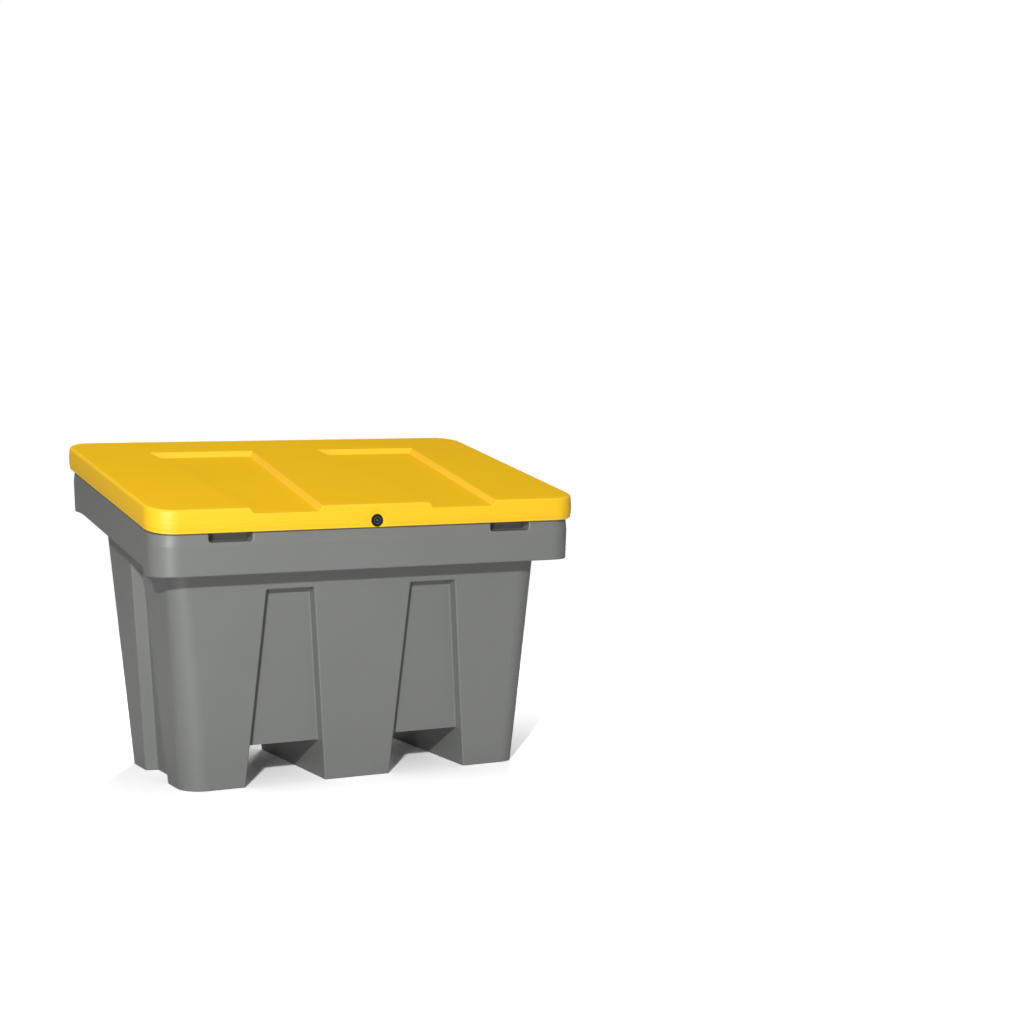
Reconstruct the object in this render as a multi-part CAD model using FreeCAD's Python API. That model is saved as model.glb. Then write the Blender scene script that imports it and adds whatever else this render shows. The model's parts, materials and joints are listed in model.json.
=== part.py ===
import FreeCAD, Part
import math
import os

from FreeCAD import Vector

# Grit salt bin in millimetres. X runs to the right, Y to the back, Z up.
# The origin lies on the ground under the middle of the lid.

# Lid
lid_length = 1200.0          # along X at the skirt's lower edge
lid_depth = 800.0            # along Y at the skirt's lower edge
lid_slope = 10.0             # degrees, falling to the front
lid_edge_front = 679.0       # height of the skirt's lower edge at the front
lid_skirt = 60.0             # upright height of the skirt
lid_wall = 5.0
lid_corner = 67.0            # plan radius of the corners
lid_edge_round = 9.0         # rounding of the top edge
lid_lip_round = 1.5          # rounding of the skirt's lower edge
skirt_bead = 4.0             # height of the bead along the lower edge
skirt_bead_out = 1.7         # how far the bead's foot stands out
skirt_band = 13.0            # height of the lower band, which leans in
skirt_band_out = 2.9         # how far its upper line stands out
skirt_widest = 25.0          # height of the widest line
skirt_widest_out = 3.5
skirt_shoulder = 43.0
skirt_shoulder_out = 2.8
skirt_top_out = 1.5          # how far the skirt's top stands out

# Two shallow channels in the lid's top, open to the front
channel_centre = 249.0
channel_depth = 14.0
channel_half_back = 150.0
channel_half_front = 98.0
channel_end = 144.0          # from the closed end to the lid's rear edge
channel_run = 10.0           # how far the sides slope in over the depth
channel_round = 2.5

# Tub
tub_wall = 6.0
foot_length = 957.0          # along X at the ground
foot_front = 263.5           # the front wall's distance before the origin at the ground
foot_back = 215.5            # the back wall's distance behind it
tub_draft = 5.0              # degrees, all the walls lean out
tub_corner_low = 48.0
tub_corner_high = 66.0
body_rise = 21.0             # the tapered body ends inside the rim, over the lid's front edge
inner_round = 12.0           # round the floor inside

# Rim round the tub's mouth
rim_inset = 7.0              # inside the lid's edge at the crease
rim_crease = 35.0            # the crease's depth under the lid's edge
rim_corner = 66.0
rim_lean = 4.5               # degrees, the band above the crease leans in
rim_draft = 1.5              # degrees, the band below it narrows
rim_top_drop = 1.3           # the rim's top under the channels' undersides
rim_front_drop = 109.0       # the front's lower edge under the lid's edge
rim_back_drop = 129.0        # the same at the back
rim_side_drop = 107.6        # the same along the sloping sides
rim_step_inset = 112.0       # where the front corners' lower part ends
rim_step_round = 15.0
rim_step_top_round = 5.0
rim_blend_round = 500.0      # where the sides' lower edge levels out to the back's
rim_edge_round = 4.0
rim_top_round = 3.0
rim_deep = 200.0             # the rim's form is drawn down to here before its lower edge is cut
flange_width = 28.0
flange_wall = 6.0
opening_corner = 46.0        # plan radius of the tub's opening
opening_bevel = 1.5

# Fork tunnels with the tapered panels above them
fork_inner = 92.5            # half of the middle foot at the ground
fork_outer = 315.0
fork_height = 105.7
panel_top = 520.0
panel_depth = 32.0
panel_draft = 2.0            # how much narrower the panel's floor is on each side
panel_round = 4.0
tunnel_round = 6.0

# Recess in each side wall
side_recess_half = 97.0      # half of its width at the ground
side_recess_centre = -24.0
side_recess_drop = 72.7      # its top under the rim's lower edge
side_recess_depth = 33.0
side_recess_run = 8.0        # how far its end faces slope
side_recess_round = 6.0
mouth_round = 4.0            # outer edges of the panels and recesses
ground_round = 3.0

# Hand grips in the rim's front
grip_centre = 394.0
grip_width = 116.0
grip_drop = 24.0             # its lower edge under the lid's edge
grip_rise = 25.0             # its top over the lid's edge
grip_depth = 46.0
grip_round = 8.0
grip_mouth_round = 4.0

# Hinges
hinge_centre = 330.0
hinge_length = 80.0
hinge_knuckle = 35.0         # the lid's middle knuckle
hinge_gap = 0.5              # between the knuckles
hinge_axis_inset = 9.0       # inside the lid's rear edge
hinge_axis_drop = 5.0        # the pin's centre under the lid's rear edge
barrel_radius = 5.0
pin_radius = 2.5
pin_play = 0.05
pin_head_radius = 4.0
pin_head = 1.5
leaf_wall = 2.5
leaf_drop = 42.0             # the tub leaf reaches this far under the pin
leaf_rise = 46.0             # the lid leaf reaches this far above it
leaf_reach = 10.5            # from the pin's centre to the tub leaf's face
lid_leaf_width = 64.0
lid_leaf_back = 3.8          # its rear face behind the pin's centre
lid_leaf_start = 6.5         # its wide part starts this far above the pin
neck_play = 0.8
hinge_pad_low = 7.0          # thick part of the skirt behind the lid leaf
hinge_pad_high = 52.0
hinge_pad_half = 34.0
niche_play = 6.0
niche_floor_drop = 50.0
niche_round = 3.0            # outer edges of the niches

# Screws and nuts of the hinges
screw_radius = 2.5
screw_play = 0.1
screw_head_radius = 5.0
screw_head = 2.8
screw_head_round = 1.7
socket_flats = 3.5           # hexagon socket in the head
socket_depth = 1.7
nut_flats = 8.0
nut_height = 4.0
washer_radius = 5.5
washer_wall = 1.0
tub_screw_offset = 26.0
tub_screw_drop = 28.0
lid_screw_offset = 21.0
lid_screw_rise = 30.0
screw_end = 1.8              # thread beyond the nut
sink_radius = 7.0            # round recess for each screw head in the lid

# Lock
lock_rise = 17.6             # the lock's centre over the lid's front edge
lock_flange_radius = 16.5
lock_flange = 2.2
lock_chamfer = 1.1
lock_body_radius = 11.0
lock_body_length = 29.2      # behind the flange
lock_hole_play = 0.2
lock_dish_radius = 27.5
lock_dish_out = 0.4          # the dish's floor stands this far out of the lid's edge
lock_seal_wall = 0.8
lock_seal_inner = 12.0
lock_seal_outer = 16.0
lock_pad = 6.4               # thickness of the skirt behind the dish
lock_pad_half = 24.0
lock_pad_height = 38.0
plug_play = 0.05
plug_radius = 7.5
plug_head_radius = 10.0
plug_head = 1.6
plug_sunk = 0.4              # the plug's face lies this far inside the flange
plug_square = 8.0
square_play = 0.05
keyhole_length = 9.0
keyhole_width = 2.0
keyhole_depth = 4.0
cam_wall = 3.0
cam_length = 34.0            # from the centre to the tip
cam_width = 16.0
cam_round = 4.0              # corners of the cam's tip
cam_gap = 0.5
cam_washer_radius = 6.5
cam_screw_radius = 2.0
cam_screw_head_radius = 3.8
cam_screw_head = 2.6
cam_screw_length = 10.0
lock_nut_flats = 28.0
lock_nut_height = 5.0
lock_nut_play = 0.05
notch_half = 24.0
notch_play = 0.6             # under the lock's nut

# Striker under the rim's flange
striker_gap = 1.4
striker_wall = 2.0
striker_near = 27.0
striker_far = 63.0
striker_depth = 18.0
striker_inset = 2.0          # in front of the flange's inner edge
striker_screw_radius = 2.0
striker_screw_head = 3.8     # radius of the countersunk head
striker_screw_pitch = 20.0
striker_screw_length = 11.0

# Rubber buffers on the rim
buffer_radius = 9.0
buffer_stem = 5.0            # radius of the stem in the flange
buffer_barb = 6.0            # radius of the barb under the flange
buffer_barb_tip = 3.0        # radius of the barb's end
buffer_barb_height = 4.0
buffer_play = 0.05
buffer_round = 2.5
buffer_end_inset = 80.0      # inside the lid's ends
buffer_inset = 25.5          # inside the lid's front and rear edges
buffer_gap = 0.3

draft = math.tan(math.radians(tub_draft))
slope = math.tan(math.radians(lid_slope))
long = lid_length + lid_depth
reach = 20.0                 # how far a large cut runs past the surface that it opens
overrun = 1.0                # the same for a hole, and how far joined blocks sink into each other
near = 0.05

hinge_axis_back = lid_depth / 2 - hinge_axis_inset
channel_back = lid_depth / 2 - channel_end
rim_front_bottom = lid_edge_front - rim_front_drop
body_top = lid_edge_front + body_rise
lock_height = lid_edge_front + lock_rise
lock_dish_floor = lid_depth / 2 + lock_dish_out
notch_bottom = lock_height - lock_nut_flats / 2 - notch_play
lid_leaf_face = hinge_axis_back + lid_leaf_back


def edge_height(y):
    """Height of the lid's lower edge at a given Y."""
    return lid_edge_front + (y + lid_depth / 2) * slope


def rounded_ring(half_x, half_y, radius):
    """Rounded rectangle as a closed wire in the XY plane."""
    turns = ((1, -1, -90), (1, 1, 0), (-1, 1, 90), (-1, -1, 180))
    arcs = []
    for side_x, side_y, start in turns:
        centre = Vector(side_x * (half_x - radius), side_y * (half_y - radius), 0)
        points = []
        for angle in (start, start + 45, start + 90):
            turn = math.radians(angle)
            points.append(centre + Vector(radius * math.cos(turn), radius * math.sin(turn), 0))
        arcs.append(points)
    edges = []
    for index, points in enumerate(arcs):
        following = arcs[(index + 1) % len(arcs)]
        edges.append(Part.Arc(*points).toShape())
        edges.append(Part.LineSegment(points[2], following[0]).toShape())
    return Part.Wire(edges)


def tilted_ring(inset, radius, lift):
    """The lid's outline moved in by inset, in the sloping plane lift above its lower edge."""
    half_x = lid_length / 2 - inset
    half_y = (lid_depth / 2 - inset) / math.cos(math.radians(lid_slope))
    ring = rounded_ring(half_x, half_y, radius)
    ring.rotate(Vector(0, 0, 0), Vector(1, 0, 0), lid_slope)
    ring.translate(Vector(0, 0, edge_height(0) + lift))
    return ring


def tilted_solid(*sections):
    return Part.makeLoft([tilted_ring(*section) for section in sections], True, True)


def hexahedron(low, high):
    """Solid with flat faces between two rings of four corners, the first ring below the second."""
    turn = (low[1] - low[0]).cross(low[2] - low[1]).z
    if turn < 0:
        return hexahedron(low[::-1], high[::-1])
    rings = [low[::-1], high]
    for index in range(4):
        following = (index + 1) % 4
        rings.append([low[index], low[following], high[following], high[index]])
    shell = Part.makeShell([Part.Face(Part.makePolygon(ring + [ring[0]])) for ring in rings])
    shell.sewShape()
    return Part.makeSolid(shell)


def box(x0, x1, y0, y1, z0, z1):
    return Part.makeBox(x1 - x0, y1 - y0, z1 - z0, Vector(x0, y0, z0))


def rod(radius, start, end):
    """Cylinder from one point to another."""
    return Part.makeCylinder(radius, (end - start).Length, start, end - start)


def hex_prism(flats, start, height):
    """Hexagonal prism along +Y."""
    radius = flats / math.sqrt(3)
    corners = []
    for index in range(7):
        turn = math.radians(60 * index)
        corners.append(start + Vector(radius * math.cos(turn), 0, radius * math.sin(turn)))
    return Part.Face(Part.makePolygon(corners)).extrude(Vector(0, height, 0))


def yz_prism(points):
    """Outline in Y and Z carried along the whole of X."""
    corners = [Vector(-long / 2, y, z) for y, z in points]
    return Part.Face(Part.makePolygon(corners + [corners[0]])).extrude(Vector(long, 0, 0))


def edges_where(shape, test):
    return [edge for edge in shape.Edges if test(edge)]


def edges_on(shape, test):
    """Edges whose ends and middle all pass a test."""
    chosen = []
    for edge in shape.Edges:
        points = [vertex.Point for vertex in edge.Vertexes]
        points.append(edge.valueAt((edge.FirstParameter + edge.LastParameter) / 2))
        if len(edge.Vertexes) > 1 and all(test(point) for point in points):
            chosen.append(edge)
    return chosen


def lift_of(point):
    """Height of a point over the lid's lower edge."""
    return point.z - edge_height(point.y)


def spans(edge, axis, least):
    """True for a straight edge along one axis that is at least this long."""
    ends = edge.Vertexes
    if len(ends) < 2:
        return False
    along = ends[1].Point - ends[0].Point
    return abs(along.dot(axis)) > least and along.Length - abs(along.dot(axis)) < 0.02 * along.Length


def both_sides(shape):
    return [shape, shape.mirror(Vector(0, 0, 0), Vector(1, 0, 0))]


def save(name, *solids):
    shape = solids[0] if len(solids) == 1 else Part.makeCompound(list(solids))
    shape.exportStep("parts/" + name + ".step")


# Tub

def body_corners(inset, z):
    lean = z * draft - inset
    half_x = foot_length / 2 + lean
    front = -foot_front - lean
    back = foot_back + lean
    return [Vector(-half_x, front, z), Vector(half_x, front, z),
            Vector(half_x, back, z), Vector(-half_x, back, z)]


def body_block(inset, bottom, corner_low, corner_high):
    """The tapered body, moved in by inset, with rounded upright corners."""
    block = hexahedron(body_corners(inset, bottom), body_corners(inset, body_top))
    upright = edges_where(block, lambda edge: spans(edge, Vector(0, 0, 1), body_top / 2))
    return block.makeFillet(corner_low, corner_high, upright)


def wall_start(side_y):
    return foot_front if side_y < 0 else foot_back


def fork_panel(wall, side_y):
    """Panel over the right-hand tunnel, grown by wall. side_y is -1 for the front."""
    start = wall_start(side_y)
    depth = panel_depth + wall

    def row(z, sink):
        squeeze = panel_draft * sink / depth
        inner = fork_inner + z * draft - wall + squeeze
        outer = fork_outer - z * draft + wall - squeeze
        y = side_y * (start + z * draft - sink)
        return Vector(inner, y, z), Vector(outer, y, z)

    top = panel_top + wall
    low = [*row(-reach, -reach), *reversed(row(-reach, depth))]
    high = [*row(top, -reach), *reversed(row(top, depth))]
    tool = hexahedron(low, high)
    floor = edges_on(tool, lambda point: abs(side_y * point.y - start - point.z * draft + depth) < near)
    corners = edges_on(tool, lambda point: abs(point.z - top) < near and side_y * point.y < start + reach * 4)
    across = [edge for edge in corners if not spans(edge, Vector(1, 0, 0), panel_depth)]
    return tool.makeFillet(panel_round + wall, floor + across)


def fork_tunnel(wall):
    """The right-hand tunnel from front to back, grown by wall."""
    top = fork_height + wall

    def row(z):
        inner = fork_inner + z * draft - wall
        outer = fork_outer - z * draft + wall
        plan = ((inner, -lid_depth), (outer, -lid_depth), (outer, lid_depth), (inner, lid_depth))
        return [Vector(x, y, z) for x, y in plan]

    tool = hexahedron(row(-reach), row(top))
    return tool.makeFillet(tunnel_round + wall, edges_on(tool, lambda point: abs(point.z - top) < near))


def side_recess(wall):
    """Recess of the right-hand side wall, grown by wall and open at the ground."""
    depth = side_recess_depth + wall
    start = foot_length / 2
    roof = edge_height(side_recess_centre) - rim_side_drop - side_recess_drop + wall

    def row(z, sink):
        half = side_recess_half - z * draft + wall - side_recess_run * sink / depth
        x = start + z * draft - sink
        return Vector(x, side_recess_centre - half, z), Vector(x, side_recess_centre + half, z)

    over = roof + side_recess_half
    low = [*row(-reach, -reach), *reversed(row(-reach, depth))]
    high = [*row(over, -reach), *reversed(row(over, depth))]
    front = side_recess_centre - lid_depth / 2
    back = side_recess_centre + lid_depth / 2
    rise = lid_depth / 2 * slope
    below = yz_prism([(front, -2 * reach), (front, roof - rise), (back, roof + rise), (back, -2 * reach)])
    tool = hexahedron(low, high).common(below).Solids[0]
    floor = edges_on(tool, lambda point: abs(point.x - start - point.z * draft + depth) < near)
    top = edges_on(tool, lambda point: abs(point.z - roof - (point.y - side_recess_centre) * slope) < near)
    across = [edge for edge in top if not spans(edge, Vector(0, 1, 0), side_recess_depth)]
    return tool.makeFillet(side_recess_round + wall, floor + across)


def rim_floor(raise_by):
    """Everything under the rim's stepped lower edge, as a prism along X."""
    far = lid_depth
    rim_step_y = lid_depth / 2 - rim_step_inset
    rim_back_bottom = edge_height(lid_depth / 2) - rim_back_drop
    step = edge_height(-rim_step_y) - rim_side_drop
    level_y = lid_depth / 2 - (rim_back_drop - rim_side_drop) / slope
    points = [(-far, 0), (-far, rim_front_bottom), (-rim_step_y, rim_front_bottom), (-rim_step_y, step),
              (level_y, rim_back_bottom), (far, rim_back_bottom), (far, 0)]
    prism = yz_prism(points)

    def corner(y, z):
        def test(edge):
            middle = edge.CenterOfMass
            beside = abs(middle.y - y) < near and abs(middle.z - z) < near
            return beside and spans(edge, Vector(1, 0, 0), long / 2)
        return edges_where(prism, test)

    prism = prism.makeFillet(rim_step_round, corner(-rim_step_y, rim_front_bottom))
    prism = prism.makeFillet(rim_step_top_round, corner(-rim_step_y, step))
    prism = prism.makeFillet(rim_blend_round, corner(level_y, rim_back_bottom))
    prism.translate(Vector(0, 0, raise_by))
    return prism


rim_top_lift = lid_skirt - channel_depth - lid_wall - rim_top_drop
lean_in = (rim_top_lift + rim_crease) * math.tan(math.radians(rim_lean))
draft_in = (rim_deep - rim_crease) * math.tan(math.radians(rim_draft))


def rim_block(inset, top_lift):
    """The rim's outer form moved in by inset, up to the given height over the lid's edge."""
    corner = rim_corner - inset
    top_in = (top_lift + rim_crease) * math.tan(math.radians(rim_lean))
    return tilted_solid((rim_inset + draft_in + inset, corner, -rim_deep),
                        (rim_inset + inset, corner, -rim_crease),
                        (rim_inset + top_in + inset, corner, top_lift))


def grip_pocket(wall, centre):
    """Hand grip in the rim's front, grown by wall."""
    half = grip_width / 2 + wall
    front = -lid_depth / 2
    floor = front + rim_inset + grip_depth + wall
    low = lid_edge_front - grip_drop - wall
    pocket = box(centre - half, centre + half, front - reach, floor, low, lid_edge_front + grip_rise + wall)
    upright = edges_where(pocket, lambda edge: spans(edge, Vector(0, 1, 0), grip_depth))
    return pocket.makeFillet(grip_round + wall / 2, upright)


axis_z = edge_height(lid_depth / 2) - hinge_axis_drop
niche_floor = hinge_axis_back - leaf_reach - leaf_wall


def hinge_niche(wall, centre):
    """Niche for one hinge in the rim's back, open at the top."""
    half = hinge_length / 2 + niche_play + wall
    return box(centre - half, centre + half, niche_floor - wall, lid_depth,
               axis_z - niche_floor_drop - wall, axis_z + 2 * lid_skirt)


striker_low = lock_height + cam_width / 2 + striker_gap
flange_edge = -(lid_depth / 2 - rim_inset - flange_width)
striker_back = flange_edge + striker_inset
striker_y = striker_back - striker_depth / 2


def striker_boss():
    """Block under the rim's flange that carries the striker."""
    front = -lid_depth / 2 + rim_inset + lean_in + overrun
    return box(striker_near, striker_far, front, striker_back, striker_low + striker_wall,
               edge_height(flange_edge) + rim_top_lift - flange_wall + overrun)


def tilted_point(x, y, lift):
    """Point at a height over the lid's lower edge."""
    return Vector(x, y, edge_height(y) + lift)


tilt_up = Vector(0, -math.sin(math.radians(lid_slope)), math.cos(math.radians(lid_slope)))


def flange_point(x, y, height):
    """Point over the rim's flange, at a height square to its slope."""
    return tilted_point(x, y, rim_top_lift) + tilt_up * height


def flange_rod(radius, x, y, low, high):
    """Cylinder square to the flange between two heights over it."""
    return rod(radius, flange_point(x, y, low), flange_point(x, y, high))


def bar(radius, x, z, y0, y1):
    """Cylinder along Y."""
    return rod(radius, Vector(x, y0, z), Vector(x, y1, z))


def screw_places(offset, rise):
    """X and Z of the screws of both hinges."""
    places = []
    for side in (-1, 1):
        for step in (-offset, offset):
            places.append((side * hinge_centre + step, axis_z + rise))
    return places


def buffer_places():
    places = []
    end = lid_length / 2 - buffer_end_inset
    for x in (-end, end):
        for y in (buffer_inset - lid_depth / 2, lid_depth / 2 - buffer_inset):
            places.append((x, y))
    return places


def striker_places():
    middle = (striker_near + striker_far) / 2
    return [middle - striker_screw_pitch / 2, middle + striker_screw_pitch / 2]


niche_wall_inner = niche_floor - tub_wall


def make_body():
    """The solid tapered body with its panels, recesses and tunnels."""
    body = body_block(0, 0, tub_corner_low, tub_corner_high)
    cuts = []
    for shape in (fork_panel(0, -1), fork_panel(0, 1), side_recess(0)):
        cuts += both_sides(shape)
    body = body.cut(cuts)

    def on_front(side_x, side_y):
        def test(point):
            flush = abs(side_y * point.y - wall_start(side_y) - point.z * draft) < near
            return flush and 0 < side_x * point.x < fork_outer + reach and point.z < panel_top + reach
        return test

    def on_side(side_x):
        def test(point):
            flush = abs(side_x * point.x - foot_length / 2 - point.z * draft) < near
            beside = abs(point.y - side_recess_centre) < side_recess_half + near
            return flush and beside and point.z < body_top - near
        return test

    for test in (on_front(1, -1), on_front(-1, -1), on_front(1, 1), on_front(-1, 1), on_side(1), on_side(-1)):
        mouth = [edge for edge in edges_on(body, test) if edge.BoundBox.ZMax > reach]
        body = body.makeFillet(mouth_round, mouth)
    body = body.cut(both_sides(fork_tunnel(0)))
    return body.makeFillet(ground_round, edges_on(body, lambda point: abs(point.z) < near))


def make_rim():
    """The solid rim with its grips and hinge niches."""
    block = rim_block(0, rim_top_lift)
    under = rim_floor(0)
    rim = block.cut(under)

    def on_wall(point):
        return Part.Vertex(point).distToShape(block.Shells[0])[0] < near

    def on_lower_edge(point):
        return Part.Vertex(point).distToShape(under)[0] < near and on_wall(point)

    def on_grip_mouth(point):
        beside = abs(abs(point.x) - grip_centre) < grip_width / 2 + near
        level = lid_edge_front - grip_drop - near < point.z < lid_edge_front + grip_rise + near
        return beside and level and point.y < 0 and on_wall(point)

    def on_niche_mouth(point):
        beside = abs(abs(point.x) - hinge_centre) < hinge_length / 2 + niche_play + near
        over_floor = point.y > niche_floor and point.z > axis_z - niche_floor_drop - near
        return beside and over_floor and on_wall(point)

    rim = rim.makeFillet(rim_edge_round, edges_on(rim, on_lower_edge))
    rim = rim.cut(both_sides(grip_pocket(0, grip_centre)))
    rim = rim.makeFillet(grip_mouth_round, edges_on(rim, on_grip_mouth))
    rim = rim.cut(both_sides(hinge_niche(0, hinge_centre)))
    mouths = edges_on(rim, on_niche_mouth)
    below_top = [edge for edge in mouths if lift_of(edge.CenterOfMass) < rim_top_lift - near]
    rim = rim.makeFillet(niche_round, below_top)
    top = edges_on(rim, lambda point: abs(lift_of(point) - rim_top_lift) < near)
    return rim.makeFillet(rim_top_round, top)


def make_hollow():
    """The space inside the tub."""
    hollow = body_block(tub_wall, tub_wall, tub_corner_low - tub_wall, tub_corner_high - tub_wall)
    hollow = hollow.makeFillet(inner_round, edges_on(hollow, lambda point: abs(point.z - tub_wall) < near))
    mouth = rim_block(tub_wall, rim_top_lift - flange_wall).cut(rim_floor(tub_wall))
    hollow = hollow.fuse(mouth)
    solid_zones = [striker_boss()]
    forks = [fork_tunnel(tub_wall), fork_panel(tub_wall, -1), fork_panel(tub_wall, 1)]
    pockets = [side_recess(tub_wall), grip_pocket(tub_wall, grip_centre), hinge_niche(tub_wall, hinge_centre)]
    for shape in forks + pockets:
        solid_zones += both_sides(shape)
    return hollow.cut(solid_zones)


def make_tub():
    inset = rim_inset + flange_width
    opening = tilted_solid((inset, opening_corner, rim_top_lift - flange_wall - overrun),
                           (inset, opening_corner, rim_top_lift - opening_bevel),
                           (inset - opening_bevel - overrun, opening_corner, rim_top_lift + overrun))
    tub = make_body().fuse(make_rim()).cut([make_hollow(), opening])

    cuts = [box(-notch_half, notch_half, -lid_depth / 2, striker_back, notch_bottom,
                lid_edge_front + 2 * lid_skirt)]
    for x, z in screw_places(tub_screw_offset, -tub_screw_drop):
        cuts.append(bar(screw_radius + screw_play, x, z, niche_wall_inner - overrun, niche_floor + overrun))
    for x in striker_places():
        hole = rod(striker_screw_radius, Vector(x, striker_y, striker_low),
                   Vector(x, striker_y, striker_low + striker_screw_length))
        cuts.append(hole)
    for x, y in buffer_places():
        cuts.append(flange_rod(buffer_stem + buffer_play, x, y, -2 * flange_wall, flange_wall))
    return tub.cut(cuts)


# Lid

def channel(grow):
    """Right-hand channel in the lid's top, grown by grow into the lid."""
    front = -lid_depth / 2 - lid_edge_round - grow
    back = channel_back + grow
    floor = lid_skirt - channel_depth - grow
    top = lid_skirt + lid_edge_round

    def half(y):
        share = (channel_back - y) / (channel_back + lid_depth / 2)
        return channel_half_back + (channel_half_front - channel_half_back) * share

    def row(lift, out):
        front_half = half(front) + out
        back_half = half(back + out) + out
        plan = [(-front_half, front), (front_half, front), (back_half, back + out), (-back_half, back + out)]
        return [tilted_point(channel_centre + x, y, lift) for x, y in plan]

    flare = channel_run / channel_depth
    tool = hexahedron(row(floor, grow - channel_run), row(top, grow - channel_run + flare * (top - floor)))
    low = edges_on(tool, lambda point: abs(lift_of(point) - floor) < near)
    ends = edges_where(tool, lambda edge: abs(edge.CenterOfMass.y - back) < 2 * channel_run
                       and edge.Length < 2 * (top - floor))
    low = [edge for edge in low if edge.CenterOfMass.y > front + near]
    return tool.makeFillet(channel_round + grow, low + ends)


def skirt_sections(inset, foot, high):
    """The skirt's profile from the points of its foot to a high lift, moved in by inset."""
    profile = foot + [(skirt_band, skirt_band_out), (skirt_widest, skirt_widest_out),
                      (skirt_shoulder, skirt_shoulder_out), (high, skirt_top_out)]
    return [(inset - out, lid_corner - inset + out, lift) for lift, out in profile]


def band_point(lift):
    """Point of the skirt's lower band, or of its line carried on downwards."""
    return lift, skirt_band_out * lift / skirt_band


def make_lid():
    outer = tilted_solid(*skirt_sections(0, [(0, skirt_bead_out), band_point(skirt_bead)], lid_skirt))
    top = edges_on(outer, lambda point: abs(lift_of(point) - lid_skirt) < near)
    outer = outer.makeFillet(lid_edge_round, top)
    outer = outer.makeFillet(lid_lip_round, edges_on(outer, lambda point: abs(lift_of(point)) < near))
    outer = outer.cut(both_sides(channel(0)))

    def beside_channel(point):
        x = abs(point.x)
        inside = abs(x - channel_centre) < channel_half_back + near and point.y < channel_back + near
        return inside and abs(lift_of(point) - lid_skirt) < near

    long_edges = [edge for edge in edges_on(outer, beside_channel) if edge.Length > 2 * lid_edge_round
                  or edge.CenterOfMass.y > channel_back - channel_half_front]
    outer = outer.makeFillet(channel_round, long_edges)
    inner = tilted_solid(*skirt_sections(lid_wall, [band_point(-lid_wall)], lid_skirt - lid_wall))
    solid_zones = both_sides(channel(lid_wall))
    pad = box(hinge_centre - hinge_pad_half, hinge_centre + hinge_pad_half, hinge_axis_back + lid_leaf_back,
              lid_depth, axis_z + hinge_pad_low, axis_z + hinge_pad_high)
    solid_zones += both_sides(pad)
    lock_back = lock_pad - lock_dish_floor
    solid_zones.append(box(-lock_pad_half, lock_pad_half, -lid_depth, lock_back,
                           lock_height - lock_pad_height / 2, lock_height + lock_pad_height / 2))
    lid = outer.cut(inner.cut(solid_zones))

    cuts = [bar(lock_dish_radius, 0, lock_height, -lid_depth, -lock_dish_floor)]
    lock_hole = lock_body_radius + lock_hole_play
    cuts.append(bar(lock_hole, 0, lock_height, -lid_depth / 2 - lid_wall, lock_back + overrun))
    for x, z in screw_places(lid_screw_offset, lid_screw_rise):
        cuts.append(bar(screw_radius + screw_play, x, z, lid_leaf_face - overrun, lid_depth / 2 + lid_wall))
        cuts.append(bar(sink_radius, x, z, lid_depth / 2, lid_depth / 2 + 2 * lid_wall))
    return lid.cut(cuts)


# Hinges

def barrel(centre, start, end, radius):
    """Cylinder along the hinge's axis between two distances from its middle."""
    middle = Vector(centre, hinge_axis_back, axis_z)
    return rod(radius, middle + Vector(start, 0, 0), middle + Vector(end, 0, 0))


def bore(centre):
    return barrel(centre, -hinge_length, hinge_length, pin_radius)


def tub_leaf(centre):
    half = hinge_length / 2
    inner = hinge_knuckle / 2 + hinge_gap
    web_low = axis_z - barrel_radius
    leaf = box(centre - half, centre + half, niche_floor, niche_floor + leaf_wall, axis_z - leaf_drop,
               web_low + leaf_wall)
    for start, end in ((-half, -inner), (inner, half)):
        web = box(centre + start, centre + end, niche_floor, hinge_axis_back, web_low, web_low + leaf_wall)
        leaf = leaf.fuse([web, barrel(centre, start, end, barrel_radius)])
    holes = [bore(centre)]
    for x, z in screw_places(tub_screw_offset, -tub_screw_drop):
        holes.append(bar(screw_radius + screw_play, x, z, niche_floor - overrun,
                         niche_floor + leaf_wall + overrun))
    return leaf.cut(holes).removeSplitter()


def lid_leaf(centre):
    neck = hinge_knuckle / 2 - neck_play / 2
    half = lid_leaf_width / 2
    front = lid_leaf_face - leaf_wall
    start = axis_z + lid_leaf_start
    leaf = box(centre - half, centre + half, front, lid_leaf_face, start, axis_z + leaf_rise)
    leaf = leaf.fuse([box(centre - neck, centre + neck, front, lid_leaf_face, axis_z, start),
                      barrel(centre, -hinge_knuckle / 2, hinge_knuckle / 2, barrel_radius)])
    holes = [bore(centre)]
    for x, z in screw_places(lid_screw_offset, lid_screw_rise):
        holes.append(bar(screw_radius + screw_play, x, z, front - overrun, lid_leaf_face + overrun))
    return leaf.cut(holes).removeSplitter()


def hinge_pin(centre):
    half = hinge_length / 2
    shaft = barrel(centre, -half - pin_head, half + pin_head, pin_radius - pin_play)
    heads = [barrel(centre, half, half + pin_head, pin_head_radius),
             barrel(centre, -half - pin_head, -half, pin_head_radius)]
    return shaft.fuse(heads).removeSplitter()


def screw(x, z, seat, end, way):
    """Round-headed screw along Y; way is +1 where the head faces the back."""
    head = bar(screw_head_radius, x, z, seat, seat + way * screw_head)
    rounded = edges_where(head, lambda edge: abs(edge.CenterOfMass.y - seat - way * screw_head) < near)
    head = head.makeFillet(screw_head_round, rounded)
    socket_end = Vector(x, seat + way * (screw_head - socket_depth), z)
    socket = hex_prism(socket_flats, socket_end, way * screw_head)
    return head.cut(socket).fuse(bar(screw_radius, x, z, seat, end))


def washer(x, z, y0, y1):
    hole = bar(screw_radius + screw_play, x, z, y0 - overrun, y1 + overrun)
    return bar(washer_radius, x, z, y0, y1).cut(hole)


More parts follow.
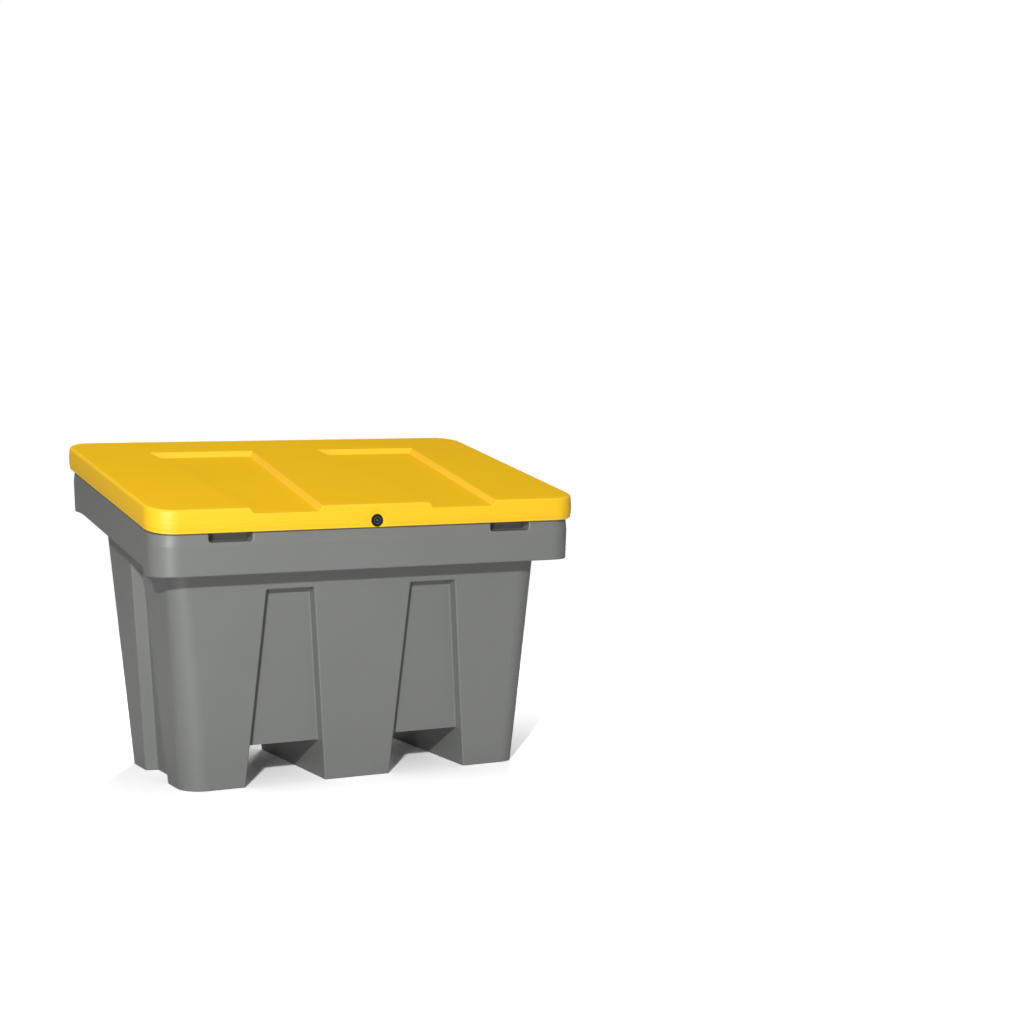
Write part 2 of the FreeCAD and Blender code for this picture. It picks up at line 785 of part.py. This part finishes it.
def nut(x, z, y0, y1):
    thread = bar(screw_radius + pin_play, x, z, y0 - overrun, y1 + overrun)
    return hex_prism(nut_flats, Vector(x, y0, z), y1 - y0).cut(thread)


def save_hinges():
    for side, word in ((-1, "left"), (1, "right")):
        centre = side * hinge_centre
        save("hinge_tub_leaf_" + word, tub_leaf(centre))
        save("hinge_lid_leaf_" + word, lid_leaf(centre))
        save("hinge_pin_" + word, hinge_pin(centre))

    tub_places = screw_places(tub_screw_offset, -tub_screw_drop)
    seat = niche_floor + leaf_wall
    washer_end = niche_wall_inner - washer_wall
    nut_end = washer_end - nut_height
    save("hinge_tub_screws", *[screw(x, z, seat, nut_end - screw_end, 1) for x, z in tub_places])
    save("hinge_tub_washers", *[washer(x, z, washer_end, niche_wall_inner) for x, z in tub_places])
    save("hinge_tub_nuts", *[nut(x, z, nut_end, washer_end) for x, z in tub_places])

    lid_places = screw_places(lid_screw_offset, lid_screw_rise)
    washer_seat = lid_leaf_face - leaf_wall
    washer_end = washer_seat - washer_wall
    nut_end = washer_end - nut_height
    save("hinge_lid_screws", *[screw(x, z, lid_depth / 2, nut_end - screw_end, 1) for x, z in lid_places])
    save("hinge_lid_washers", *[washer(x, z, washer_end, washer_seat) for x, z in lid_places])
    save("hinge_lid_nuts", *[nut(x, z, nut_end, washer_end) for x, z in lid_places])


# Lock

flange_back = -lock_dish_floor - lock_seal_wall
lock_front = flange_back - lock_flange
lock_end = flange_back + lock_body_length
cam_front = lock_end + cam_gap
cam_back = cam_front + cam_wall


def lock_bar(radius, y0, y1):
    return bar(radius, 0, lock_height, y0, y1)


def save_lock():
    plug_front = lock_front + plug_sunk
    plug_step = plug_front + plug_head
    housing = lock_bar(lock_flange_radius, lock_front, flange_back)
    face_edge = edges_where(housing, lambda edge: abs(edge.CenterOfMass.y - lock_front) < near)
    housing = housing.makeChamfer(lock_chamfer, face_edge)
    housing = housing.fuse(lock_bar(lock_body_radius, flange_back, lock_end))
    housing = housing.cut([lock_bar(plug_radius + plug_play, lock_front - overrun, lock_end + overrun),
                           lock_bar(plug_head_radius + plug_play, lock_front - overrun, plug_step)])
    save("lock_housing", housing.removeSplitter())

    plug = lock_bar(plug_head_radius, plug_front, plug_step).fuse(lock_bar(plug_radius, plug_step, cam_front))
    half = plug_square / 2
    plug = plug.fuse(box(-half, half, cam_front, cam_back, lock_height - half, lock_height + half))
    keyhole = box(-keyhole_width / 2, keyhole_width / 2, plug_front - overrun, plug_front + keyhole_depth,
                  lock_height - keyhole_length / 2, lock_height + keyhole_length / 2)
    thread = lock_bar(cam_screw_radius, cam_back - cam_screw_length, cam_back + overrun)
    save("lock_plug", plug.cut([keyhole, thread]).removeSplitter())

    seal = lock_bar(lock_seal_outer, flange_back, -lock_dish_floor)
    save("lock_seal", seal.cut(lock_bar(lock_seal_inner, flange_back - overrun, overrun - lock_dish_floor)))

    nut_front = lock_pad - lock_dish_floor
    ring = hex_prism(lock_nut_flats, Vector(0, nut_front, lock_height), lock_nut_height)
    nut_back = nut_front + lock_nut_height
    thread = lock_bar(lock_body_radius + lock_nut_play, nut_front - overrun, nut_back + overrun)
    save("lock_nut", ring.cut(thread))

    half_cam = cam_width / 2
    cam = lock_bar(half_cam, cam_front, cam_back)
    cam = cam.fuse(box(-half_cam, half_cam, cam_front, cam_back, lock_height - cam_length, lock_height))
    tip = edges_where(cam, lambda edge: spans(edge, Vector(0, 1, 0), cam_wall / 2)
                      and edge.CenterOfMass.z < lock_height - cam_length + near)
    cam = cam.makeFillet(cam_round, tip)
    half = plug_square / 2 + square_play
    cam = cam.cut(box(-half, half, cam_front - overrun, cam_back + overrun,
                      lock_height - half, lock_height + half))
    save("lock_cam", cam.removeSplitter())

    washer_back = cam_back + washer_wall
    screw_body = lock_bar(cam_screw_radius - square_play, cam_back - cam_screw_length, cam_back)
    screw_body = screw_body.fuse([lock_bar(cam_washer_radius, cam_back, washer_back),
                                  lock_bar(cam_screw_head_radius, cam_back, washer_back + cam_screw_head)])
    save("lock_cam_screw", screw_body.removeSplitter())


def save_striker():
    plate = box(striker_near, striker_far, striker_back - striker_depth, striker_back, striker_low,
                striker_low + striker_wall)
    screws = []
    for x in striker_places():
        foot = Vector(x, striker_y, striker_low)
        sink = Part.makeCone(striker_screw_head, striker_screw_radius, striker_wall, foot, Vector(0, 0, 1))
        plate = plate.cut(sink)
        tip = foot + Vector(0, 0, striker_screw_length - overrun)
        shaft = rod(striker_screw_radius - square_play, foot, tip)
        head = Part.makeCone(striker_screw_head, striker_screw_radius, striker_wall, foot, Vector(0, 0, 1))
        screws.append(head.fuse(shaft))
    save("striker_plate", plate)
    save("striker_screws", *screws)


def save_buffers():
    upright = math.cos(math.radians(lid_slope))
    under = -flange_wall * upright
    height = (lid_skirt - lid_wall - buffer_gap - rim_top_lift) * upright
    buffers = []
    for x, y in buffer_places():
        top = flange_rod(buffer_radius, x, y, 0, height)
        crown = flange_point(x, y, height)
        rounded = edges_where(top, lambda edge: (edge.CenterOfMass - crown).Length < near)
        top = top.makeFillet(buffer_round, rounded)
        stem = flange_rod(buffer_stem, x, y, under, 0)
        seat = flange_point(x, y, under)
        barb = Part.makeCone(buffer_barb, buffer_barb_tip, buffer_barb_height, seat, tilt_up * -1)
        buffers.append(top.fuse([stem, barb]))
    save("lid_buffers", *buffers)


if __name__ == "__main__":
    os.makedirs("parts", exist_ok=True)
    tub = make_tub()
    lid = make_lid()
    for name, shape in (("tub", tub), ("lid_shell", lid)):
        print(name, shape.isValid(), len(shape.Solids), round(shape.Volume / 1e6, 2))
        save(name, shape)
    save_hinges()
    save_lock()
    save_striker()
    save_buffers()
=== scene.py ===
import json
import math

import bpy
import numpy as np
from mathutils import Matrix, Vector

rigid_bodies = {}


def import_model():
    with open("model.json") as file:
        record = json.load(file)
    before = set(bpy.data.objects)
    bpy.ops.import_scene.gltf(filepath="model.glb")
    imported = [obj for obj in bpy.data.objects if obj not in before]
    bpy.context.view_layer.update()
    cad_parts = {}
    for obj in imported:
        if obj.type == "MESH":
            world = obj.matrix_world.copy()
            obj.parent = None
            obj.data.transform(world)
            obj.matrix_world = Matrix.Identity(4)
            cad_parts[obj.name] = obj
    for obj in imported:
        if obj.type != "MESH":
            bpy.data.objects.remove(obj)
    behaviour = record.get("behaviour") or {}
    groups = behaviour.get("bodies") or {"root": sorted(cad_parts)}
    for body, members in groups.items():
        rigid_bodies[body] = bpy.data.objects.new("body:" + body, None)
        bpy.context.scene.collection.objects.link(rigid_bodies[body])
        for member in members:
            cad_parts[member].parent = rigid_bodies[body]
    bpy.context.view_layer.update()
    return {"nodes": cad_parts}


# Grit salt bin: the moulded tub, its sloping lid, the lock and the hinges.
# Metres. X to the right, Y to the back, Z up, the origin on the ground under the middle of the lid.

for startObject in list(bpy.data.objects):
    bpy.data.objects.remove(startObject, do_unlink=True)

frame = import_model()
nodes = frame["nodes"]
print("frame loaded:", len(nodes), "nodes")


# Camera

camera = {
    "place": (-2.0752, -5.1190, 1.0801),
    "yaw": 27.629,      # degrees from +Y towards +X
    "pitch": 4.024,     # degrees below the horizon
    "roll": 0.066,
    "lens": 70.0,       # mm
    "film": 36.0,       # mm, the picture's width behind the lens
    "sight": 200.0,     # the floor's far corners lie within it
}


def makeCamera(values):
    yaw, pitch, roll = (math.radians(values[key]) for key in ("yaw", "pitch", "roll"))
    forward = Vector((math.sin(yaw) * math.cos(pitch), math.cos(yaw) * math.cos(pitch), -math.sin(pitch)))
    right = Vector((math.cos(yaw), -math.sin(yaw), 0))
    up = right.cross(forward)
    acrossPicture = right * math.cos(roll) + up * math.sin(roll)
    upPicture = up * math.cos(roll) - right * math.sin(roll)
    turn = Matrix((acrossPicture, upPicture, -forward)).transposed().to_4x4()
    data = bpy.data.cameras.new("photoCamera")
    data.lens = values["lens"]
    data.sensor_width = values["film"]
    data.clip_end = values["sight"]
    thing = bpy.data.objects.new("photoCamera", data)
    thing.matrix_world = Matrix.Translation(values["place"]) @ turn
    bpy.context.scene.collection.objects.link(thing)
    bpy.context.scene.camera = thing


makeCamera(camera)


# Node helpers
# In the settings below a noise is a pair: its cells per metre and its detail.

noiseRange = (0.3, 0.7)     # nearly all values of a noise lie in it


class Recipe:
    # The nodes of a material or of the world.

    def __init__(self, owner):
        self.owner = owner
        owner.use_nodes = True
        self.tree = owner.node_tree
        self.tree.nodes.clear()
        self.coordinates = self.add("ShaderNodeTexCoord").outputs

    def add(self, kind, values=None):
        # A key is an input's name or number, or else a property of the node. An input takes
        # a number, a vector or a wire from another node.
        node = self.tree.nodes.new(kind)
        for key, value in (values or {}).items():
            if isinstance(key, str) and key not in node.inputs:
                setattr(node, key, value)
            elif isinstance(value, bpy.types.NodeSocket):
                self.tree.links.new(value, node.inputs[key])
            else:
                node.inputs[key].default_value = value
        return node

    def noise(self, scale, detail, stretch=None):
        vector = self.coordinates["Object"]
        if stretch:
            vector = self.add("ShaderNodeMapping", {"Vector": vector, "Scale": stretch}).outputs["Vector"]
        values = {"Vector": vector, "Scale": scale, "Detail": detail}
        return self.add("ShaderNodeTexNoise", values).outputs["Fac"]

    def spread(self, wire, fromLow, fromHigh, low, high):
        # Takes a wire from one range to another; the ends may be numbers or wires.
        values = {"Value": wire, "From Min": fromLow, "From Max": fromHigh, "To Min": low, "To Max": high}
        return self.add("ShaderNodeMapRange", values).outputs["Result"]

    def blend(self, share, low, high):
        # Goes from one number or wire to the other by a share of 0 to 1.
        return self.spread(share, 0, 1, low, high)

    def patches(self, wire, low, high):
        # Takes a noise to the range from low to high.
        return self.spread(wire, *noiseRange, low, high)

    def tint(self, share, first, second):
        ramp = self.add("ShaderNodeValToRGB", {"Fac": share})
        ramp.color_ramp.elements[0].color = (*first, 1)
        ramp.color_ramp.elements[1].color = (*second, 1)
        return ramp.outputs["Color"]

    def length(self, wire):
        return self.add("ShaderNodeVectorMath", {"operation": "LENGTH", 0: wire}).outputs["Value"]

    def bump(self, wire, depth, strength, under=None):
        values = {"Height": wire, "Distance": depth, "Strength": strength}
        if under:
            values["Normal"] = under
        return self.add("ShaderNodeBump", values).outputs["Normal"]

    def finish(self, values):
        shader = self.add("ShaderNodeBsdfPrincipled", values)
        self.add("ShaderNodeOutputMaterial", {"Surface": shader.outputs["BSDF"]})
        return self.owner


def newRecipe(name):
    return Recipe(bpy.data.materials.new(name))


def dress(names, material):
    for name in names:
        thing = nodes[name]
        for place in thing.material_slots:
            place.material = material


# Moulded polyethylene

polyethylene = {
    "ior": 1.50,
    "cloud": (3.5, 4.0),        # noise of the colour
    "satin": (70.0, 3.0),       # noise of the upright walls' roughness
    "waveStrength": 0.25,
    "grain": (1100.0, 2.0),     # the fine grain
    "grainDepth": 0.00003,
    "grainStrength": 0.8,
    "uprightTo": 0.80,          # a surface counts as upright while its normal's Z is below this
    "upwardFrom": 0.96,         # and looks up where its normal's Z is above this
}
tubPlastic = {
    **polyethylene,
    "colour": (0.175, 0.181, 0.173),
    "lighter": (0.185, 0.191, 0.184),
    "smooth": (0.43, 0.47),     # roughness of the upright walls, polished by the mould
    "matt": 0.62,               # roughness of what looks up
    "gloss": (0.58, 0.40),      # specular level of the upright walls and of what looks up
    "wave": (26.0, 1.0),        # slow waves of a moulded wall
    "waveDepth": 0.00030,
}
lidPlastic = {
    **polyethylene,
    "colour": (0.950, 0.552, 0.006),
    "lighter": (0.965, 0.569, 0.007),
    "smooth": (0.48, 0.52),
    "matt": 0.85,
    "gloss": (0.60, 0.10),
    "wave": (22.0, 1.0),
    "waveDepth": 0.00025,
}


def moulded(name, values):
    # Polyethylene as it leaves the mould: even colour, fine grain over slow waves,
    # satin on the upright walls and matt where it looks up.
    recipe = newRecipe(name)
    cloud = recipe.patches(recipe.noise(*values["cloud"]), 0, 1)
    normal = recipe.add("ShaderNodeSeparateXYZ", {"Vector": recipe.coordinates["Normal"]}).outputs
    up = recipe.spread(normal["Z"], values["uprightTo"], values["upwardFrom"], 0, 1)
    smooth = recipe.patches(recipe.noise(*values["satin"]), *values["smooth"])
    waves = recipe.bump(recipe.noise(*values["wave"]), values["waveDepth"], values["waveStrength"])
    grain = recipe.bump(recipe.noise(*values["grain"]), values["grainDepth"], values["grainStrength"], waves)
    return recipe.finish({
        "Base Color": recipe.tint(cloud, values["colour"], values["lighter"]),
        "Roughness": recipe.blend(up, smooth, values["matt"]),
        "Specular IOR Level": recipe.blend(up, *values["gloss"]),
        "IOR": values["ior"],
        "Normal": grain,
    })


# Steel of the hinges, the cam, the striker and the fasteners

steel = {
    "lines": (120.0, 6.0),      # noise of the colour and the relief
    "cloud": (60.0, 4.0),       # noise of the roughness
    "depth": 0.00003,
    "strength": 0.4,
}
rolledSteel = {
    **steel,
    "dark": (0.50, 0.51, 0.52),
    "light": (0.64, 0.65, 0.66),
    "rough": (0.26, 0.40),
    "stretch": (0.25, 6.0, 6.0),    # makes the noise fine lines along X
}
platedSteel = {
    **steel,
    "dark": (0.46, 0.47, 0.48),
    "light": (0.60, 0.61, 0.60),
    "rough": (0.30, 0.48),
    "stretch": (1.0, 1.0, 1.0),     # leaves it the same all ways
}


def metal(name, values):
    recipe = newRecipe(name)
    lines = recipe.noise(*values["lines"], values["stretch"])
    return recipe.finish({
        "Metallic": 1.0,
        "Base Color": recipe.tint(recipe.patches(lines, 0, 1), values["dark"], values["light"]),
        "Roughness": recipe.patches(recipe.noise(*values["cloud"]), *values["rough"]),
        "Normal": recipe.bump(lines, values["depth"], values["strength"]),
    })


# Lock

lockHousing = {
    "dark": (0.006, 0.006, 0.007),
    "light": (0.012, 0.012, 0.013),
    "cloud": (160.0, 4.0),      # noise of the colour
    "sheen": (400.0, 3.0),      # noise of the roughness
    "rough": (0.28, 0.42),
    "gloss": 0.25,
    "relief": (2500.0, 2.0),
    "depth": 0.00003,
    "strength": 0.6,
}
lockPlug = {
    "dark": (0.006, 0.006, 0.008),
    "lightMetal": (0.420, 0.440, 0.460),
    "ringFrom": 0.0076,         # radius from which a ring of lighter metal starts near the plug's edge
    "ringTo": 0.0090,
    "ringShare": 0.40,           # how much of that ring is lighter metal
    "spotRadius": 0.0034,         # radius of the spot of lighter metal around the keyhole
    "soft": 0.0007,             # width of the masks' edges
    "breakup": (900.0, 3.0),     # noise that breaks the lighter metal places up
    "breakupRange": (0.25, 0.75),
    "sheen": (500.0, 3.0),
    "rough": (0.25, 0.40),
    "gloss": 0.20,
    "relief": (2500.0, 2.0),
    "depth": 0.00002,
    "strength": 0.6,
}


def darkCast(name, values):
    # Black satin coating over a die-cast face.
    recipe = newRecipe(name)
    cloud = recipe.patches(recipe.noise(*values["cloud"]), 0, 1)
    return recipe.finish({
        "Base Color": recipe.tint(cloud, values["dark"], values["light"]),
        "Roughness": recipe.patches(recipe.noise(*values["sheen"]), *values["rough"]),
        "Specular IOR Level": values["gloss"],
        "Normal": recipe.bump(recipe.noise(*values["relief"]), values["depth"], values["strength"]),
    })


def middleOf(piece):
    # The middle of the box around a piece's vertices.
    places = np.empty(len(piece.data.vertices) * 3)
    piece.data.vertices.foreach_get("co", places)
    places = places.reshape(-1, 3)
    return (places.min(0) + places.max(0)) / 2


def ringedPlug(name, piece, values):
    # Black plug face with a ring of lighter metal near its edge and a spot of it around the keyhole. The
    # masks are steps of the distance from the plug's own axis, which runs along Y.
    recipe = newRecipe(name)
    shift = {"Vector": recipe.coordinates["Object"], "Location": -middleOf(piece)}
    centred = recipe.add("ShaderNodeMapping", shift).outputs["Vector"]
    flat = recipe.add("ShaderNodeVectorMath", {"operation": "MULTIPLY", 0: centred, 1: (1, 0, 1)})
    away = recipe.length(flat.outputs["Vector"])
    soft = values["soft"]
    rising = recipe.spread(away, values["ringFrom"] - soft, values["ringFrom"], 0, values["ringShare"])
    ring = recipe.spread(away, values["ringTo"], values["ringTo"] + soft, rising, 0)
    lightMetal = recipe.spread(away, values["spotRadius"] - soft, values["spotRadius"], 1, ring)
    share = recipe.spread(recipe.noise(*values["breakup"]), *values["breakupRange"], 0, lightMetal)
    return recipe.finish({
        "Base Color": recipe.tint(share, values["dark"], values["lightMetal"]),
        "Metallic": share,
        "Roughness": recipe.patches(recipe.noise(*values["sheen"]), *values["rough"]),
        "Specular IOR Level": values["gloss"],
        "Normal": recipe.bump(recipe.noise(*values["relief"]), values["depth"], values["strength"]),
    })


# Rubber of the seal and the buffers

rubber = {
    "dark": (0.010, 0.010, 0.010),
    "light": (0.020, 0.020, 0.019),
    "cloud": (220.0, 4.0),      # noise of the colour
    "rough": 0.72,
    "ior": 1.45,
    "relief": (1800.0, 3.0),
    "depth": 0.00005,
    "strength": 0.7,
}


def softRubber(name, values):
    recipe = newRecipe(name)
    cloud = recipe.patches(recipe.noise(*values["cloud"]), 0, 1)
    return recipe.finish({
        "Base Color": recipe.tint(cloud, values["dark"], values["light"]),
        "Roughness": values["rough"],
        "IOR": values["ior"],
        "Normal": recipe.bump(recipe.noise(*values["relief"]), values["depth"], values["strength"]),
    })


tubFinish = moulded("tubPolyethylene", tubPlastic)
lidFinish = moulded("lidPolyethylene", lidPlastic)
leafSteel = metal("leafSteel", rolledSteel)
zincSteel = metal("zincSteel", platedSteel)
plugMetal = ringedPlug("plugMetal", nodes["lock_plug"], lockPlug)
castBlack = darkCast("castBlack", lockHousing)
blackRubber = softRubber("blackRubber", rubber)

dress(["tub"], tubFinish)
dress(["lid_shell"], lidFinish)
dress(["hinge_tub_leaf_left", "hinge_tub_leaf_right", "hinge_lid_leaf_left", "hinge_lid_leaf_right",
       "lock_cam", "striker_plate"], leafSteel)
dress(["hinge_pin_left", "hinge_pin_right", "hinge_tub_screws", "hinge_tub_washers", "hinge_tub_nuts",
       "hinge_lid_screws", "hinge_lid_washers", "hinge_lid_nuts", "striker_screws", "lock_nut",
       "lock_cam_screw"], zincSteel)
dress(["lock_housing"], castBlack)
dress(["lock_plug"], plugMetal)
dress(["lock_seal", "lid_buffers"], blackRubber)
print("finishes given to", len(nodes), "nodes")


# Floor, world and lamps

studio = {
    "floorReach": 40.0,
    "floorColour": 0.50,    # what the floor sends back to the bin
    "floorSeen": 1.70,      # what the camera sees of it, so that the lit paper is white
    "floorMirrored": 0.60,  # what a glossy surface shows of it
    "fadeFrom": 1.3,        # from here outwards the paper fades into the white backdrop
    "fadeTo": 3.2,
    "skyFront": 0.45,       # how bright a glossy surface shows the backdrop low in front and at the sides
    "skyBehind": 0.06,      # the same low behind the bin
    "skyFrom": 0.20,        # from this height (the sine) it grows to full white overhead
    "fill": 0.21,           # the world's strength on the bin
    "white": 1.0,           # the backdrop as the camera sees it
    "aim": (0.0, -0.1, 0.4),
    "lamps": {
        "keyLamp": {"way": (-0.470, -0.808, 0.372), "far": 7.6, "size": 0.35, "power": 440.0},
        "topLamp": {"way": (0.05, 0.10, 0.99), "far": 4.5, "size": 3.0, "power": 44.0},
        "lowLamp": {"way": (-0.56, -0.82, 0.03), "far": 7.0, "size": 0.8, "power": 100.0},
        "backLamp": {"way": (0.50, 0.86, 0.10), "far": 6.0, "size": 1.6, "power": 330.0},
    },
}


def stageRays(recipe):
    # Gives 1 for the camera's rays, and 1 for the rays that show the stage in metal, gloss or glass.
    path = recipe.add("ShaderNodeLightPath").outputs
    glossy, through = path["Is Glossy Ray"], path["Is Transmission Ray"]
    mirrored = recipe.add("ShaderNodeMath", {"operation": "MAXIMUM", 0: glossy, 1: through})
    return path["Is Camera Ray"], mirrored.outputs["Value"]


def floorPaper(values):
    # Lit paper near the bin, which the camera sees fade into the white of the backdrop.
    recipe = newRecipe("floorPaper")
    seen, mirrored = stageRays(recipe)
    unseen = recipe.blend(mirrored, values["floorColour"], values["floorMirrored"])
    paper = recipe.add("ShaderNodeBsdfDiffuse", {"Color": recipe.blend(seen, unseen, values["floorSeen"])})
    fade = recipe.add("ShaderNodeMapRange", {
        "interpolation_type": "SMOOTHSTEP",
        "Value": recipe.length(recipe.coordinates["Object"]),
        "From Min": values["fadeFrom"],
        "From Max": values["fadeTo"],
    }).outputs["Result"]
    share = recipe.add("ShaderNodeMath", {"operation": "MULTIPLY", 0: fade, 1: seen}).outputs["Value"]
    glow = recipe.add("ShaderNodeEmission").outputs["Emission"]
    both = recipe.add("ShaderNodeMixShader", {"Fac": share, 1: paper.outputs["BSDF"], 2: glow})
    recipe.add("ShaderNodeOutputMaterial", {"Surface": both.outputs["Shader"]})
    return recipe.owner


def makeFloor(values):
    reach = values["floorReach"]
    data = bpy.data.meshes.new("floor")
    corners = [(-reach, -reach, 0), (reach, -reach, 0), (reach, reach, 0), (-reach, reach, 0)]
    data.from_pydata(corners, [], [(0, 1, 2, 3)])
    floor = bpy.data.objects.new("floor", data)
    bpy.context.scene.collection.objects.link(floor)
    data.materials.append(floorPaper(values))


def makeWorld(values):
    # White for the camera, a sky that darkens downwards in gloss, and an even fill for the rest.
    world = bpy.data.worlds.new("studioAir")
    bpy.context.scene.world = world
    recipe = Recipe(world)
    seen, mirrored = stageRays(recipe)
    way = recipe.add("ShaderNodeSeparateXYZ", {"Vector": recipe.coordinates["Generated"]}).outputs
    horizon = recipe.blend(way["Y"], values["skyFront"], values["skyBehind"])
    sky = recipe.spread(way["Z"], values["skyFrom"], 1, horizon, values["white"])
    unseen = recipe.blend(mirrored, values["fill"], sky)
    strength = recipe.blend(seen, unseen, values["white"])
    air = recipe.add("ShaderNodeBackground", {"Color": (1, 1, 1, 1), "Strength": strength})
    recipe.add("ShaderNodeOutputWorld", {"Surface": air.outputs["Background"]})


def makeLamp(name, aim, values):
    data = bpy.data.lights.new(name, "AREA")
    data.shape = "DISK"
    data.size = values["size"]
    data.energy = values["power"]
    lamp = bpy.data.objects.new(name, data)
    direction = Vector(values["way"]).normalized()
    turn = (-direction).to_track_quat("-Z", "Y").to_matrix().to_4x4()
    lamp.matrix_world = Matrix.Translation(Vector(aim) + direction * values["far"]) @ turn
    bpy.context.scene.collection.objects.link(lamp)


makeFloor(studio)
makeWorld(studio)
for lampName, lampValues in studio["lamps"].items():
    makeLamp(lampName, studio["aim"], lampValues)
bpy.context.scene.view_settings.view_transform = "Standard"
print("studio ready")
